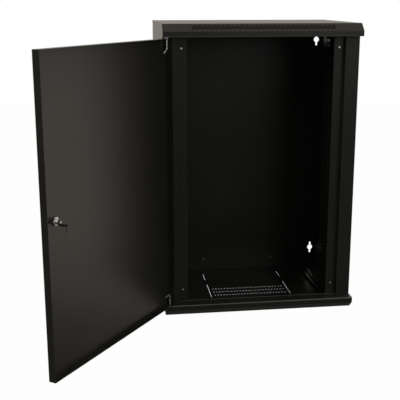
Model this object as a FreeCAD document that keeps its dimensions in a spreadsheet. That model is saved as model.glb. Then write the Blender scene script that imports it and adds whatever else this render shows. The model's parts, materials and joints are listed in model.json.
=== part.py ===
import FreeCAD, Part
import Sketcher
import math
import os
import re

doc = FreeCAD.newDocument("WallCabinet")
sizes = doc.addObject("Spreadsheet::Sheet", "Sizes")

# Driving dimensions, all in millimetres or degrees.
drivers = {
    "cabinet_width": 600,
    "cabinet_depth": 450,
    "cabinet_height": 901,
    "frame_gauge": 1.5,
    "skin_gauge": 1.2,
    "seat_gap": 0.02,
    "fit_gap": 0.3,
    # roof and floor trays
    "slope_run": 24.4,
    "slope_drop": 22.1,
    "lip_height": 16.2,
    "ledge_depth": 49,
    "ledge_return": 14,
    "bend_inside": 1.2,
    "band_height": 52,
    "band_end_gap": 2,
    "ear_width": 22,
    "ear_rise": 14,
    "vent_cell": 8,
    "vent_hole": 5.6,
    "vent_columns": 62,
    "band_screw_offset": 125,
    "band_screw_drop": 38,
    "ear_screw_inset": 10,
    "ear_screw_drop": 56,
    "knockout_half_width": 135,
    "knockout_front": 156,
    "knockout_back": 386,
    "knockout_slot": 2,
    "knockout_bridge": 48,
    "louvre_rows": 4,
    "louvre_columns": 25,
    "louvre_row_pitch": 29,
    "louvre_pitch": 10,
    "louvre_length": 3.4,
    "louvre_width": 10,
    "louvre_front": 173,
    # side panels
    "side_inset": 1.2,
    "side_rear_flange": 34.8,
    "side_tab": 15,
    "keyhole_side_inset": 21.3,
    "keyhole_end_inset": 68,
    "keyhole_round_radius": 9.25,
    "keyhole_slot_radius": 3.25,
    "keyhole_length": 42,
    # front uprights
    "upright_set_back": 34.5,
    "upright_flange_share": 0.4065,
    "upright_step": 17.5,
    "upright_return": 20,
    "upright_screw_share": 0.54,
    "upright_screw_drop": 72.7,
    "cam_slot_below": 25,
    "cam_slot_above": 9,
    # corner brackets
    "bracket_gauge": 2,
    "bracket_height": 88,
    "bracket_foot": 22,
    "bracket_side_gap": 16.8,
    # depth channels and nineteen inch rails
    "channel_from_rail_edge": 16,
    "channel_width": 26,
    "channel_height": 8,
    "channel_slot": 7,
    "channel_front": 62,
    "channel_back": 20,
    "rail_opening": 450,
    "rail_set_back": 140,
    "rail_gauge": 2,
    "rail_flange": 27,
    "rail_return": 30,
    "rail_hole": 9.5,
    "rail_hole_inset": 7.55,
    "rack_unit": 44.45,
    "rack_units": 18,
    "rack_hole_pitch": 15.875,
    "rail_bolt_set_back": 19,
    "rail_bolt_length": 7.6,
    # screws
    "screw_radius": 3,
    "screw_head_radius": 5.25,
    "screw_head_height": 3.2,
    "screw_clearance": 0.08,
    "small_screw_radius": 2,
    "small_head_radius": 3.6,
    "small_head_height": 2,
    # door
    "door_gap": 3,
    "door_inset": 2,
    "door_thickness": 21,
    "door_open_angle": 125.15,
    "hinge_inset": 12,
    "hinge_depth": 8.4,
    "pin_radius": 3.2,
    "pin_clearance": 0.08,
    "pin_reach": 4,
    "pin_bend_radius": 8,
    "pin_leg_length": 18,
    "pin_inside": 23,
    # lock
    "lock_from_step": 10.5,
    "lock_height": -6,
    "lock_head_radius": 11,
    "lock_head_proud": 3,
    "barrel_radius": 8,
    "barrel_depth": 14,
    "plug_radius": 5,
    "plug_depth": 16,
    "key_slot_height": 7,
    "key_slot_width": 2,
    "key_slot_depth": 8,
    "nut_across_flats": 22,
    "nut_thickness": 4.5,
    "cam_width": 12,
    "cam_head_radius": 8,
    "cam_gauge": 2,
    "cam_crank": 22,
    "cam_reach": 24,
}
for row, (alias, number) in enumerate(drivers.items(), start=1):
    sizes.set(f"A{row}", alias.replace("_", " "))
    sizes.set(f"B{row}", str(number))
    sizes.setAlias(f"B{row}", alias)
doc.recompute()

word = re.compile(r"\b(" + "|".join(sorted(drivers, key=len, reverse=True)) + r")\b")
solids = []


def bind(formula):
    return word.sub(r"Sizes.\1", formula)


def value(formula):
    return float(sizes.evalExpression(bind(formula)))


def new_body(label):
    body = doc.addObject("PartDesign::Body", label)
    body.Label = label
    solids.append(body)
    return body


def new_sketch(body, name, plane, offset="0"):
    sketch = body.newObject("Sketcher::SketchObject", name)
    base = [item for item in body.Origin.OriginFeatures if item.Role == plane][0]
    sketch.AttachmentSupport = (base, [""])
    sketch.MapMode = "FlatFace"
    sketch.setExpression("AttachmentOffset.Base.z", bind(offset))
    return sketch


def pin_point(sketch, geometry, point, u, v):
    for kind, formula in (("DistanceX", u), ("DistanceY", v)):
        item = sketch.addConstraint(
            Sketcher.Constraint(kind, -1, 1, geometry, point, value(formula))
        )
        sketch.setExpression(f"Constraints[{item}]", bind(formula))


def draw_loop(sketch, corners):
    first = sketch.GeometryCount
    spots = [FreeCAD.Vector(value(u), value(v), 0) for u, v in corners]
    count = len(spots)
    for index in range(count):
        line = Part.LineSegment(spots[index], spots[(index + 1) % count])
        sketch.addGeometry(line, False)
    for index in range(count):
        following = first + (index + 1) % count
        sketch.addConstraint(
            Sketcher.Constraint("Coincident", first + index, 2, following, 1)
        )
    for index, (u, v) in enumerate(corners):
        pin_point(sketch, first + index, 1, u, v)


def draw_box(sketch, left, bottom, right, top):
    draw_loop(sketch, [(left, bottom), (right, bottom), (right, top), (left, top)])


def draw_circle(sketch, u, v, radius):
    middle = FreeCAD.Vector(value(u), value(v), 0)
    circle = sketch.addGeometry(
        Part.Circle(middle, FreeCAD.Vector(0, 0, 1), value(radius)), False
    )
    pin_point(sketch, circle, 3, u, v)
    size = sketch.addConstraint(
        Sketcher.Constraint("Radius", circle, value(radius))
    )
    sketch.setExpression(f"Constraints[{size}]", bind(radius))


def draw_hexagon(sketch, u, v, across_corners, turn=0):
    corners = []
    for index in range(6):
        angle = 60 * index + turn
        across = f"({across_corners}) / 2 * cos({angle} deg)"
        up = f"({across_corners}) / 2 * sin({angle} deg)"
        corners.append((f"{u} + {across}", f"{v} + {up}"))
    draw_loop(sketch, corners)


def pad(body, name, sketch, length, both_ways=False, backward=False):
    feature = body.newObject("PartDesign::Pad", name)
    feature.Profile = sketch
    feature.setExpression("Length", bind(length))
    feature.Reversed = backward
    if both_ways:
        feature.SideType = "Symmetric"
    doc.recompute()
    return feature


def pocket(body, name, sketch, length, both_ways=False, backward=False):
    before = body.Tip.Shape.Volume
    feature = body.newObject("PartDesign::Pocket", name)
    feature.Profile = sketch
    feature.setExpression("Length", bind(length))
    feature.Reversed = backward
    if both_ways:
        feature.SideType = "Symmetric"
    doc.recompute()
    if feature.Shape.Volume > before - 0.01:
        raise RuntimeError(f"{body.Label} {name} removes nothing")
    return feature


def repeat(body, name, feature, sketch, axis, pitch, count):
    pattern = body.newObject("PartDesign::LinearPattern", name)
    pattern.Originals = [feature]
    pattern.Direction = (sketch, [axis])
    pattern.Mode = "Spacing"
    pattern.setExpression("Offset", bind(pitch))
    pattern.setExpression("Occurrences", bind(count))
    body.Tip = pattern
    doc.recompute()
    return pattern


def round_bends(body, name, axis, spots, radius):
    # Rounds the long edges that run along one axis through the given places.
    base = body.Tip
    shape = base.Shape
    places = [[value(part) for part in spot] for spot in spots]
    chosen = []
    for index, edge in enumerate(shape.Edges, start=1):
        ends = [vertex.Point for vertex in edge.Vertexes]
        if len(ends) != 2:
            continue
        run = ends[1] - ends[0]
        if abs(abs(run[axis]) - run.Length) > 0.001:
            continue
        flat = [n for number, n in enumerate(ends[0]) if number != axis]
        for place in places:
            if abs(flat[0] - place[0]) < 0.01 and abs(flat[1] - place[1]) < 0.01:
                chosen.append(f"Edge{index}")
    if len(chosen) < len(places):
        raise RuntimeError(f"{body.Label} {name} misses an edge")
    fillet = body.newObject("PartDesign::Fillet", name)
    fillet.Base = (base, chosen)
    fillet.setExpression("Radius", bind(radius))
    doc.recompute()
    return fillet


def hinge_turn():
    angle = value("door_open_angle")
    pivot = FreeCAD.Vector(
        value("hinge_inset - cabinet_width / 2"),
        value("hinge_depth - cabinet_depth"),
        0,
    )
    turn = FreeCAD.Rotation(FreeCAD.Vector(0, 0, 1), -angle)
    return FreeCAD.Placement(FreeCAD.Vector(0, 0, 0), turn, pivot)


# ---------------------------------------------------------------- roof, floor

half_wide = "cabinet_width / 2"
side_outer = f"({half_wide} - side_inset)"
rail_inner = "(rail_opening / 2)"
upright_inside = f"({rail_inner} + ({side_outer} - {rail_inner}) * upright_flange_share)"
band_half = f"({side_outer} - side_rear_flange - band_end_gap)"
half_high = "cabinet_height / 2"
front = "-cabinet_depth"
ledge_drop = "(slope_drop + lip_height)"
rear_plane = "-(skin_gauge + seat_gap)"
hinge_x = "(cabinet_width / 2 - hinge_inset)"
hinge_y = "(hinge_depth - cabinet_depth)"
slope_angle = "atan(slope_drop / slope_run)"
ledge_bend = f"frame_gauge * tan((90 deg - {slope_angle}) / 2)"
roof_bend = f"frame_gauge * tan({slope_angle} / 2)"


def tray_profile(up):
    # One folded sheet: ledge, lip, slope, plate and rear band.
    def level(depth_from_top):
        return f"{up} * ({half_high} - ({depth_from_top}))"

    ledge_back = f"{front} + ledge_depth"
    return [
        (ledge_back, level(ledge_drop)),
        (front, level(ledge_drop)),
        (front, level("slope_drop")),
        (f"{front} + slope_run", level("0")),
        (rear_plane, level("0")),
        (rear_plane, level("band_height")),
        (f"{rear_plane} - frame_gauge", level("band_height")),
        (f"{rear_plane} - frame_gauge", level("frame_gauge")),
        (f"{front} + slope_run + {roof_bend}", level("frame_gauge")),
        (f"{front} + frame_gauge", level(f"slope_drop + {ledge_bend}")),
        (f"{front} + frame_gauge", level(f"{ledge_drop} - frame_gauge")),
        (f"{ledge_back} - frame_gauge", level(f"{ledge_drop} - frame_gauge")),
        (f"{ledge_back} - frame_gauge", level(f"{ledge_drop} - ledge_return")),
        (ledge_back, level(f"{ledge_drop} - ledge_return")),
    ]


def build_tray(label, up):
    body = new_body(label)
    fold = new_sketch(body, f"{label}_fold", "YZ_Plane")
    draw_loop(fold, tray_profile(up))
    pad(body, f"{label}_sheet", fold, "cabinet_width", both_ways=True)
    profile = tray_profile(up)
    inner_bends = [profile[index] for index in (7, 8, 9, 10, 11)]
    outer_bends = [profile[index] for index in (0, 1, 2, 3, 4)]
    round_bends(body, f"{label}_inner_bends", 0, inner_bends, "bend_inside")

    # Cheeks close the two ends of the hollow front edge.
    for side in (1, -1):
        cheek = new_sketch(
            body,
            f"{label}_cheek_{side + 1}",
            "YZ_Plane",
            f"{side} * ({half_wide} - frame_gauge / 2)",
        )
        cheek_back = f"{front} + upright_set_back - fit_gap"
        draw_loop(
            cheek,
            [
                (front, f"{up} * ({half_high} - {ledge_drop})"),
                (front, f"{up} * ({half_high} - slope_drop)"),
                (f"{front} + slope_run", f"{up} * {half_high}"),
                (cheek_back, f"{up} * {half_high}"),
                (cheek_back, f"{up} * ({half_high} - {ledge_drop})"),
            ],
        )
        pad(body, f"{label}_end_{side + 1}", cheek, "frame_gauge", both_ways=True)
    round_bends(
        body, f"{label}_outer_bends", 0, outer_bends, "bend_inside + frame_gauge"
    )

    # Ears on the rear band hold the corners of the back panel.
    ears = new_sketch(body, f"{label}_ears", "XZ_Plane", "-(" + rear_plane + ")")
    for side in (1, -1):
        inner = f"{side} * ({band_half} - ear_width)"
        outer = f"{side} * {band_half}"
        low = f"{up} * ({half_high} - band_height - ear_rise)"
        high = f"{up} * ({half_high} - band_height + 2)"
        draw_box(ears, inner, low, outer, high)
    pad(body, f"{label}_ear_plates", ears, "frame_gauge")

    # The rear band stops beside the flanges of the side panels.
    ends = new_sketch(body, f"{label}_band_ends", "XZ_Plane")
    for side in (1, -1):
        draw_box(
            ends,
            f"{side} * {band_half}",
            f"{up} * ({half_high} - band_height - 1)",
            f"{side} * ({half_wide} + 1)",
            f"{up} * ({half_high} - frame_gauge)",
        )
    pocket(body, f"{label}_band_cut", ends, "20", both_ways=True)

    # Notches let the side panels pass the ends of the ledge.
    notch = new_sketch(
        body,
        f"{label}_notch",
        "XY_Plane",
        f"{up} * ({half_high} - {ledge_drop} + frame_gauge / 2)",
    )
    for side in (1, -1):
        draw_box(
            notch,
            f"{side} * ({half_wide} - side_inset - skin_gauge - 3)",
            f"{front} + upright_set_back - fit_gap",
            f"{side} * ({half_wide} + 1)",
            f"{front} + ledge_depth + 1",
        )
    pocket(body, f"{label}_notches", notch, "2 * ledge_return + 6", both_ways=True)

    # Holes for the hinge pins at both ends, so the door can hang on either side.
    holes = new_sketch(
        body,
        f"{label}_pin_holes",
        "XY_Plane",
        f"{up} * ({half_high} - {ledge_drop} + frame_gauge / 2)",
    )
    for side in (1, -1):
        draw_circle(
            holes, f"{side} * {hinge_x}", hinge_y, "pin_radius + pin_clearance"
        )
    pocket(body, f"{label}_pin_bores", holes, "3 * frame_gauge", both_ways=True)

    # Screw holes in the rear band and its ears.
    drill = new_sketch(body, f"{label}_screw_holes", "XZ_Plane")
    for x, drop in band_screws:
        for side in (1, -1):
            draw_circle(
                drill,
                f"{side} * {x}",
                f"{up} * ({half_high} - {drop})",
                "small_screw_radius + screw_clearance",
            )
    pocket(body, f"{label}_screw_bores", drill, "20", both_ways=True)

    # Holes for the feet of the corner brackets.
    feet = new_sketch(body, f"{label}_foot_holes", "XY_Plane", f"{up} * {half_high}")
    for side in (1, -1):
        draw_circle(
            feet,
            f"{side} * ({foot_x})",
            foot_y,
            "small_screw_radius + screw_clearance",
        )
    pocket(body, f"{label}_foot_bores", feet, "4 * frame_gauge", both_ways=True)
    return body


band_screws = [
    ("band_screw_offset", "band_screw_drop"),
    (f"({band_half} - ear_screw_inset)", "ear_screw_drop"),
]
bracket_plane = f"({front} + upright_set_back + upright_step + frame_gauge + fit_gap)"
bracket_outer = f"({side_outer} - bracket_side_gap)"
foot_inner = f"({upright_inside} + 4)"
foot_x = f"({foot_inner} + {bracket_outer}) / 2"
screw_x = f"({rail_inner} + ({upright_inside} - {rail_inner}) * upright_screw_share)"
screw_z = f"({half_high} - upright_screw_drop)"
foot_y = f"{bracket_plane} + bracket_gauge + bracket_foot / 2"

roof = build_tray("roof_panel", 1)
floor = build_tray("floor_panel", -1)


def cut_knockout(body, label, up):
    # Punched slots round a break-out plate, joined by bridges.
    plate = new_sketch(body, f"{label}_knockout", "XY_Plane", f"{up} * {half_high}")
    low = f"({front} + knockout_front)"
    high = f"({front} + knockout_back)"
    middle = f"(({low} + {high}) / 2 + 31)"
    for side in (1, -1):
        inner = f"{side} * (knockout_half_width - knockout_slot / 2)"
        outer = f"{side} * (knockout_half_width + knockout_slot / 2)"
        draw_box(plate, inner, low, outer, f"{middle} - knockout_bridge / 2")
        draw_box(plate, inner, f"{middle} + knockout_bridge / 2", outer, high)
    for edge in (low, high):
        for side in (1, -1):
            draw_box(
                plate,
                f"{side} * knockout_bridge / 2",
                f"{edge} - knockout_slot / 2",
                f"{side} * (knockout_half_width - 9)",
                f"{edge} + knockout_slot / 2",
            )
    pocket(body, f"{label}_knockout_slots", plate, "4 * frame_gauge", both_ways=True)


cut_knockout(roof, "roof_panel", 1)
cut_knockout(floor, "floor_panel", -1)

# Rows of short vent slots in the floor plate.
louvre = new_sketch(floor, "floor_vent_slot", "XY_Plane", f"-{half_high}")
louvre_left = "-(louvre_columns - 1) * louvre_pitch / 2"
louvre_first = f"({front} + louvre_front)"
draw_box(
    louvre,
    f"{louvre_left} - louvre_length / 2",
    f"{louvre_first} - louvre_width / 2",
    f"{louvre_left} + louvre_length / 2",
    f"{louvre_first} + louvre_width / 2",
)
vent = pocket(floor, "floor_vent", louvre, "4 * frame_gauge", both_ways=True)
vents = floor.newObject("PartDesign::LinearPattern", "floor_vents")
vents.Originals = [vent]
vents.Direction = (louvre, ["H_Axis"])
vents.Mode = "Spacing"
vents.setExpression("Offset", bind("louvre_pitch"))
vents.setExpression("Occurrences", bind("louvre_columns"))
vents.Direction2 = (louvre, ["V_Axis"])
vents.Mode2 = "Spacing"
vents.setExpression("Offset2", bind("louvre_row_pitch"))
vents.setExpression("Occurrences2", bind("louvre_rows"))
floor.Tip = vents
doc.recompute()

# Hexagonal perforation in the roof slope, two staggered holes to a column pair.
slope = new_sketch(roof, "slope_vent_cells", "XY_Plane", half_high)
column_pitch = "vent_cell * cos(30 deg)"
flatten = f"cos({slope_angle})"
first_column = f"-(vent_columns - 1) / 2 * {column_pitch}"
for column in (0, 1):
    for step in (0, 1):
        along = f"({step} - 0.5 + 0.5 * {column} - 0.25) * vent_cell"
        middle_u = f"{first_column} + {column} * {column_pitch}"
        middle_v = f"{front} + slope_run / 2 + {along} * {flatten}"
        cell = []
        for corner in range(6):
            turn = f"{60 * corner} deg"
            cell.append(
                (
                    f"{middle_u} + vent_hole / 2 / cos(30 deg) * cos({turn})",
                    f"{middle_v} + vent_hole / 2 / cos(30 deg) * sin({turn}) * {flatten}",
                )
            )
        draw_loop(slope, cell)
cells = pocket(roof, "slope_vent_pair", slope, "slope_drop + 2")
repeat(
    roof,
    "slope_vents",
    cells,
    slope,
    "H_Axis",
    f"2 * {column_pitch}",
    "vent_columns / 2",
)

# ---------------------------------------------------------------- side panels

side_front = f"({front} + upright_set_back + frame_gauge + seat_gap)"
side_half_high = f"({half_high} - frame_gauge - seat_gap)"


def build_side(label, side):
    body = new_body(label)
    plan = new_sketch(body, f"{label}_plan", "XY_Plane")
    draw_loop(
        plan,
        [
            (f"{side} * {side_outer}", side_front),
            (f"{side} * {side_outer}", "0"),
            (f"{side} * ({side_outer} - side_rear_flange)", "0"),
            (f"{side} * ({side_outer} - side_rear_flange)", "-skin_gauge"),
            (f"{side} * ({side_outer} - skin_gauge)", "-skin_gauge"),
            (f"{side} * ({side_outer} - skin_gauge)", side_front),
        ],
    )
    pad(body, f"{label}_sheet", plan, f"2 * {side_half_high}", both_ways=True)
    inner_corner = (f"{side} * ({side_outer} - skin_gauge)", "-skin_gauge")
    outer_corner = (f"{side} * {side_outer}", "0")
    round_bends(body, f"{label}_inner_bend", 2, [inner_corner], "bend_inside")
    round_bends(
        body, f"{label}_outer_bend", 2, [outer_corner], "bend_inside + skin_gauge"
    )
    for up in (1, -1):
        tab = new_sketch(
            body,
            f"{label}_tab_{up + 1}",
            "XY_Plane",
            f"{up} * ({side_half_high} - skin_gauge / 2)",
        )
        draw_box(
            tab,
            f"{side} * ({side_outer} - skin_gauge - side_tab)",
            f"{side_front} + upright_return + 4",
            f"{side} * ({side_outer} - skin_gauge / 2)",
            "-(bend_inside + 2 * skin_gauge)",
        )
        pad(body, f"{label}_edge_{up + 1}", tab, "skin_gauge", both_ways=True)
    for up in (1, -1):
        x = f"{side} * ({side_outer} - keyhole_side_inset)"
        z = f"{up} * ({half_high} - keyhole_end_inset)"
        straight = "(keyhole_length / 2 - keyhole_slot_radius)"
        entry = new_sketch(body, f"{label}_keyhole_{up + 1}", "XZ_Plane")
        draw_circle(entry, x, z, "keyhole_round_radius")
        pocket(body, f"{label}_entry_{up + 1}", entry, "6", both_ways=True)
        slot = new_sketch(body, f"{label}_slot_{up + 1}", "XZ_Plane")
        draw_box(
            slot,
            f"{x} - keyhole_slot_radius",
            f"{z} - {straight}",
            f"{x} + keyhole_slot_radius",
            f"{z} + {straight}",
        )
        pocket(body, f"{label}_slot_cut_{up + 1}", slot, "6", both_ways=True)
        tips = new_sketch(body, f"{label}_tips_{up + 1}", "XZ_Plane")
        for end in (1, -1):
            draw_circle(tips, x, f"{z} + {end} * {straight}", "keyhole_slot_radius")
        pocket(body, f"{label}_tip_cut_{up + 1}", tips, "6", both_ways=True)
    return body


build_side("side_panel_right", 1)
build_side("side_panel_left", -1)

# ---------------------------------------------------------------- back panel

back = new_body("back_panel")
back_plan = new_sketch(back, "back_outline", "XZ_Plane")
back_half = f"({side_outer} - side_rear_flange - fit_gap)"
back_half_high = f"({half_high} - 2)"
draw_box(back_plan, f"-{back_half}", f"-{back_half_high}", back_half, back_half_high)
pad(back, "back_sheet", back_plan, "skin_gauge")
back_holes = new_sketch(back, "back_screw_holes", "XZ_Plane")
for x, drop in band_screws:
    for side in (1, -1):
        for up in (1, -1):
            draw_circle(
                back_holes,
                f"{side} * {x}",
                f"{up} * ({half_high} - {drop})",
                "small_screw_radius + screw_clearance",
            )
pocket(back, "back_screw_bores", back_holes, "6", both_ways=True)

# ---------------------------------------------------------------- uprights

post_front = f"({front} + upright_set_back)"
post_back = f"({post_front} + frame_gauge)"
flange_front = f"({post_front} + upright_step)"
post_half_high = f"({half_high} - {ledge_drop} - fit_gap)"


def build_upright(label, side):
    body = new_body(label)
    plan = new_sketch(body, f"{label}_plan", "XY_Plane")
    lining = f"({side_outer} - skin_gauge - fit_gap / 2)"
    corners = [
        (side_outer, post_front),
        (upright_inside, post_front),
        (upright_inside, flange_front),
        (rail_inner, flange_front),
        (rail_inner, f"{flange_front} + frame_gauge"),
        (f"({upright_inside} + frame_gauge)", f"{flange_front} + frame_gauge"),
        (f"({upright_inside} + frame_gauge)", post_back),
        (f"({lining} - frame_gauge)", post_back),
        (f"({lining} - frame_gauge)", f"{post_back} + upright_return"),
        (lining, f"{post_back} + upright_return"),
        (lining, post_back),
        (side_outer, post_back),
    ]
    draw_loop(plan, [(f"{side} * {x}", y) for x, y in corners])
    pad(body, f"{label}_fold", plan, f"2 * {post_half_high}", both_ways=True)
    outer = [(f"{side} * {corners[index][0]}", corners[index][1]) for index in (1, 5)]
    inner = [(f"{side} * {corners[index][0]}", corners[index][1]) for index in (2, 6)]
    round_bends(body, f"{label}_outer_bends", 2, outer, "bend_inside + frame_gauge")
    round_bends(body, f"{label}_inner_bends", 2, inner, "bend_inside")
    # A slot in the step lets the lock cam swing in behind the face.
    slot = new_sketch(
        body, f"{label}_cam_slot", "YZ_Plane", f"{side} * ({upright_inside})"
    )
    draw_box(
        slot,
        f"{post_back} + 0.5",
        "lock_height - cam_slot_below",
        f"{flange_front} - 1.5",
        "lock_height + cam_slot_above",
    )
    pocket(body, f"{label}_cam_cut", slot, "4 * frame_gauge", both_ways=True)
    holes = new_sketch(body, f"{label}_screw_holes", "XZ_Plane", f"-{flange_front}")
    for up in (1, -1):
        draw_circle(
            holes,
            f"{side} * {screw_x}",
            f"{up} * {screw_z}",
            "screw_radius + screw_clearance",
        )
    pocket(body, f"{label}_screw_bores", holes, "4 * frame_gauge", both_ways=True)
    return body


build_upright("front_upright_right", 1)
build_upright("front_upright_left", -1)


def build_bracket(label, side, up):
    body = new_body(label)
    plate = new_sketch(body, f"{label}_plate", "XZ_Plane", f"-{bracket_plane}")
    outer = bracket_outer
    inner = f"({rail_inner} + 4)"
    seat = f"({half_high} - frame_gauge - seat_gap)"
    draw_box(
        plate,
        f"{side} * {inner}",
        f"{up} * {seat}",
        f"{side} * {outer}",
        f"{up} * ({seat} - bracket_height)",
    )
    pad(body, f"{label}_wall", plate, "bracket_gauge", backward=True)
    foot = new_sketch(
        body, f"{label}_foot", "XY_Plane", f"{up} * ({seat} - bracket_gauge / 2)"
    )
    draw_box(
        foot,
        f"{side} * {foot_inner}",
        f"{bracket_plane} + bracket_gauge / 2",
        f"{side} * {outer}",
        f"{bracket_plane} + bracket_gauge + bracket_foot",
    )
    pad(body, f"{label}_base", foot, "bracket_gauge", both_ways=True)
    hole = new_sketch(body, f"{label}_hole", "XZ_Plane", f"-{bracket_plane}")
    draw_circle(
        hole,
        f"{side} * {screw_x}",
        f"{up} * {screw_z}",
        "screw_radius + screw_clearance",
    )
    pocket(body, f"{label}_bore", hole, "6 * bracket_gauge", both_ways=True)
    base_hole = new_sketch(body, f"{label}_base_hole", "XY_Plane", f"{up} * {seat}")
    draw_circle(
        base_hole,
        f"{side} * ({foot_x})",
        foot_y,
        "small_screw_radius + screw_clearance",
    )
    pocket(body, f"{label}_base_bore", base_hole, "6 * bracket_gauge", both_ways=True)
    return body


for side, side_name in ((1, "right"), (-1, "left")):
    for up, level_name in ((1, "top"), (-1, "bottom")):
        build_bracket(f"corner_bracket_{level_name}_{side_name}", side, up)

# ------------------------------------------------------- depth channels, rails

channel_x = f"({rail_inner} + channel_from_rail_edge)"
channel_seat = f"({half_high} - frame_gauge - seat_gap)"
channel_top = f"({channel_seat} - channel_height)"


def build_channel(label, side, up):
    body = new_body(label)
    section = new_sketch(body, f"{label}_section", "XZ_Plane")
    half = "channel_width / 2"
    corners = [
        (f"-{half}", channel_seat),
        (half, channel_seat),
        (half, channel_top),
        ("channel_slot / 2", channel_top),
        ("channel_slot / 2", f"({channel_top} + frame_gauge)"),
        (f"{half} - frame_gauge", f"({channel_top} + frame_gauge)"),
        (f"{half} - frame_gauge", f"({channel_seat} - frame_gauge)"),
        (f"frame_gauge - {half}", f"({channel_seat} - frame_gauge)"),
        (f"frame_gauge - {half}", f"({channel_top} + frame_gauge)"),
        ("-channel_slot / 2", f"({channel_top} + frame_gauge)"),
        ("-channel_slot / 2", channel_top),
        (f"-{half}", channel_top),
    ]
    draw_loop(
        section,
        [(f"{side} * {channel_x} + {x}", f"{up} * {z}") for x, z in corners],
    )
    section.setExpression(
        "AttachmentOffset.Base.z", bind("cabinet_depth - channel_front")
    )
    pad(
        body,
        f"{label}_strip",
        section,
        "cabinet_depth - channel_front - channel_back",
        backward=True,
    )
    return body


for side, side_name in ((1, "right"), (-1, "left")):
    for up, level_name in ((1, "top"), (-1, "bottom")):
        build_channel(f"depth_channel_{level_name}_{side_name}", side, up)

rail_front = f"({front} + rail_set_back)"
rail_half_high = f"({channel_top} - seat_gap)"
rail_bolt_y = f"({rail_front} + rail_bolt_set_back)"


def build_rail(label, side):
    body = new_body(label)
    plan = new_sketch(body, f"{label}_plan", "XY_Plane")
    edge = f"({rail_inner} + rail_flange)"
    corners = [
        (rail_inner, rail_front),
        (edge, rail_front),
        (edge, f"{rail_front} + rail_return"),
        (f"({edge} - rail_gauge)", f"{rail_front} + rail_return"),
        (f"({edge} - rail_gauge)", f"{rail_front} + rail_gauge"),
        (rail_inner, f"{rail_front} + rail_gauge"),
    ]
    draw_loop(plan, [(f"{side} * {x}", y) for x, y in corners])
    pad(body, f"{label}_angle", plan, f"2 * {rail_half_high}", both_ways=True)
    for up in (1, -1):
        foot = new_sketch(
            body,
            f"{label}_foot_{up + 1}",
            "XY_Plane",
            f"{up} * ({rail_half_high} - rail_gauge / 2)",
        )
        draw_box(
            foot,
            f"{side} * ({rail_inner} + 3)",
            f"{rail_front} + rail_gauge / 2",
            f"{side} * ({edge} - rail_gauge / 2)",
            f"{rail_front} + rail_return",
        )
        pad(body, f"{label}_foot_plate_{up + 1}", foot, "rail_gauge", both_ways=True)
    bores = new_sketch(body, f"{label}_foot_holes", "XY_Plane")
    draw_circle(
        bores,
        f"{side} * {channel_x}",
        rail_bolt_y,
        "screw_radius + screw_clearance",
    )
    pocket(body, f"{label}_foot_bores", bores, "cabinet_height", both_ways=True)
    squares = new_sketch(body, f"{label}_unit_holes", "XZ_Plane", f"-{rail_front}")
    lowest = "(-(rack_units / 2) * rack_unit + rack_unit / 2)"
    for step in (-1, 0, 1):
        draw_box(
            squares,
            f"{side} * ({rail_inner} + rail_hole_inset) - rail_hole / 2",
            f"{lowest} + {step} * rack_hole_pitch - rail_hole / 2",
            f"{side} * ({rail_inner} + rail_hole_inset) + rail_hole / 2",
            f"{lowest} + {step} * rack_hole_pitch + rail_hole / 2",
        )
    unit = pocket(
        body, f"{label}_unit", squares, "4 * rail_gauge", both_ways=True
    )
    repeat(
        body, f"{label}_units", unit, squares, "V_Axis", "rack_unit", "rack_units"
    )
    return body


build_rail("equipment_rail_right", 1)
build_rail("equipment_rail_left", -1)

# ---------------------------------------------------------------- fasteners


def spin_group(label, spots, radius, head_radius, head_height, length):
    # Each spot gives the seat of the head and the direction of the shank.
    pieces = []
    for index, (seat, direction) in enumerate(spots):
        place = FreeCAD.Placement(
            FreeCAD.Vector(*[value(item) for item in seat]),
            FreeCAD.Rotation(FreeCAD.Vector(0, 0, 1), FreeCAD.Vector(*direction)),
        )
        shank = doc.addObject("Part::Cylinder", f"{label}_shank_{index}")
        shank.setExpression("Radius", bind(radius))
        shank.setExpression("Height", bind(f"{length} + {head_height} / 2"))
        shank.Placement = place.multiply(
            FreeCAD.Placement(
                FreeCAD.Vector(0, 0, -value(head_height) / 2), FreeCAD.Rotation()
            )
        )
        head = doc.addObject("Part::Cylinder", f"{label}_head_{index}")
        head.setExpression("Radius", bind(head_radius))
        head.setExpression("Height", bind(head_height))
        head.Placement = place.multiply(
            FreeCAD.Placement(
                FreeCAD.Vector(0, 0, -value(head_height) - value("seat_gap")),
                FreeCAD.Rotation(),
            )
        )
        screw = doc.addObject("Part::Fuse", f"{label}_{index}")
        screw.Base = head
        screw.Tool = shank
        pieces.append(screw)
    group = doc.addObject("Part::Compound", label)
    group.Links = pieces
    group.Label = label
    solids.append(group)
    doc.recompute()
    return group


both = (1, -1)
spin_group(
    "upright_screws",
    [
        (
            (f"{side} * {screw_x}", flange_front, f"{up} * {screw_z}"),
            (0, 1, 0),
        )
        for side in both
        for up in both
    ],
    "screw_radius",
    "screw_head_radius",
    "screw_head_height",
    "9",
)
band_face = f"({rear_plane} - frame_gauge)"
spin_group(
    "back_panel_screws",
    [
        (
            (f"{side} * {x}", band_face, f"{up} * ({half_high} - {drop})"),
            (0, 1, 0),
        )
        for x, drop in band_screws
        for side in both
        for up in both
    ],
    "small_screw_radius",
    "small_head_radius",
    "small_head_height",
    "(frame_gauge + skin_gauge)",
)
foot_seat = f"({half_high} - frame_gauge - seat_gap - bracket_gauge)"
spin_group(
    "bracket_foot_screws",
    [
        ((f"{side} * ({foot_x})", foot_y, f"{up} * {foot_seat}"), (0, 0, up))
        for side in both
        for up in both
    ],
    "small_screw_radius",
    "small_head_radius",
    "small_head_height",
    "(bracket_gauge + frame_gauge)",
)
rail_foot_seat = f"({rail_half_high} - rail_gauge)"
nut_seat = f"({channel_top} + frame_gauge + 2 * seat_gap)"
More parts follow.
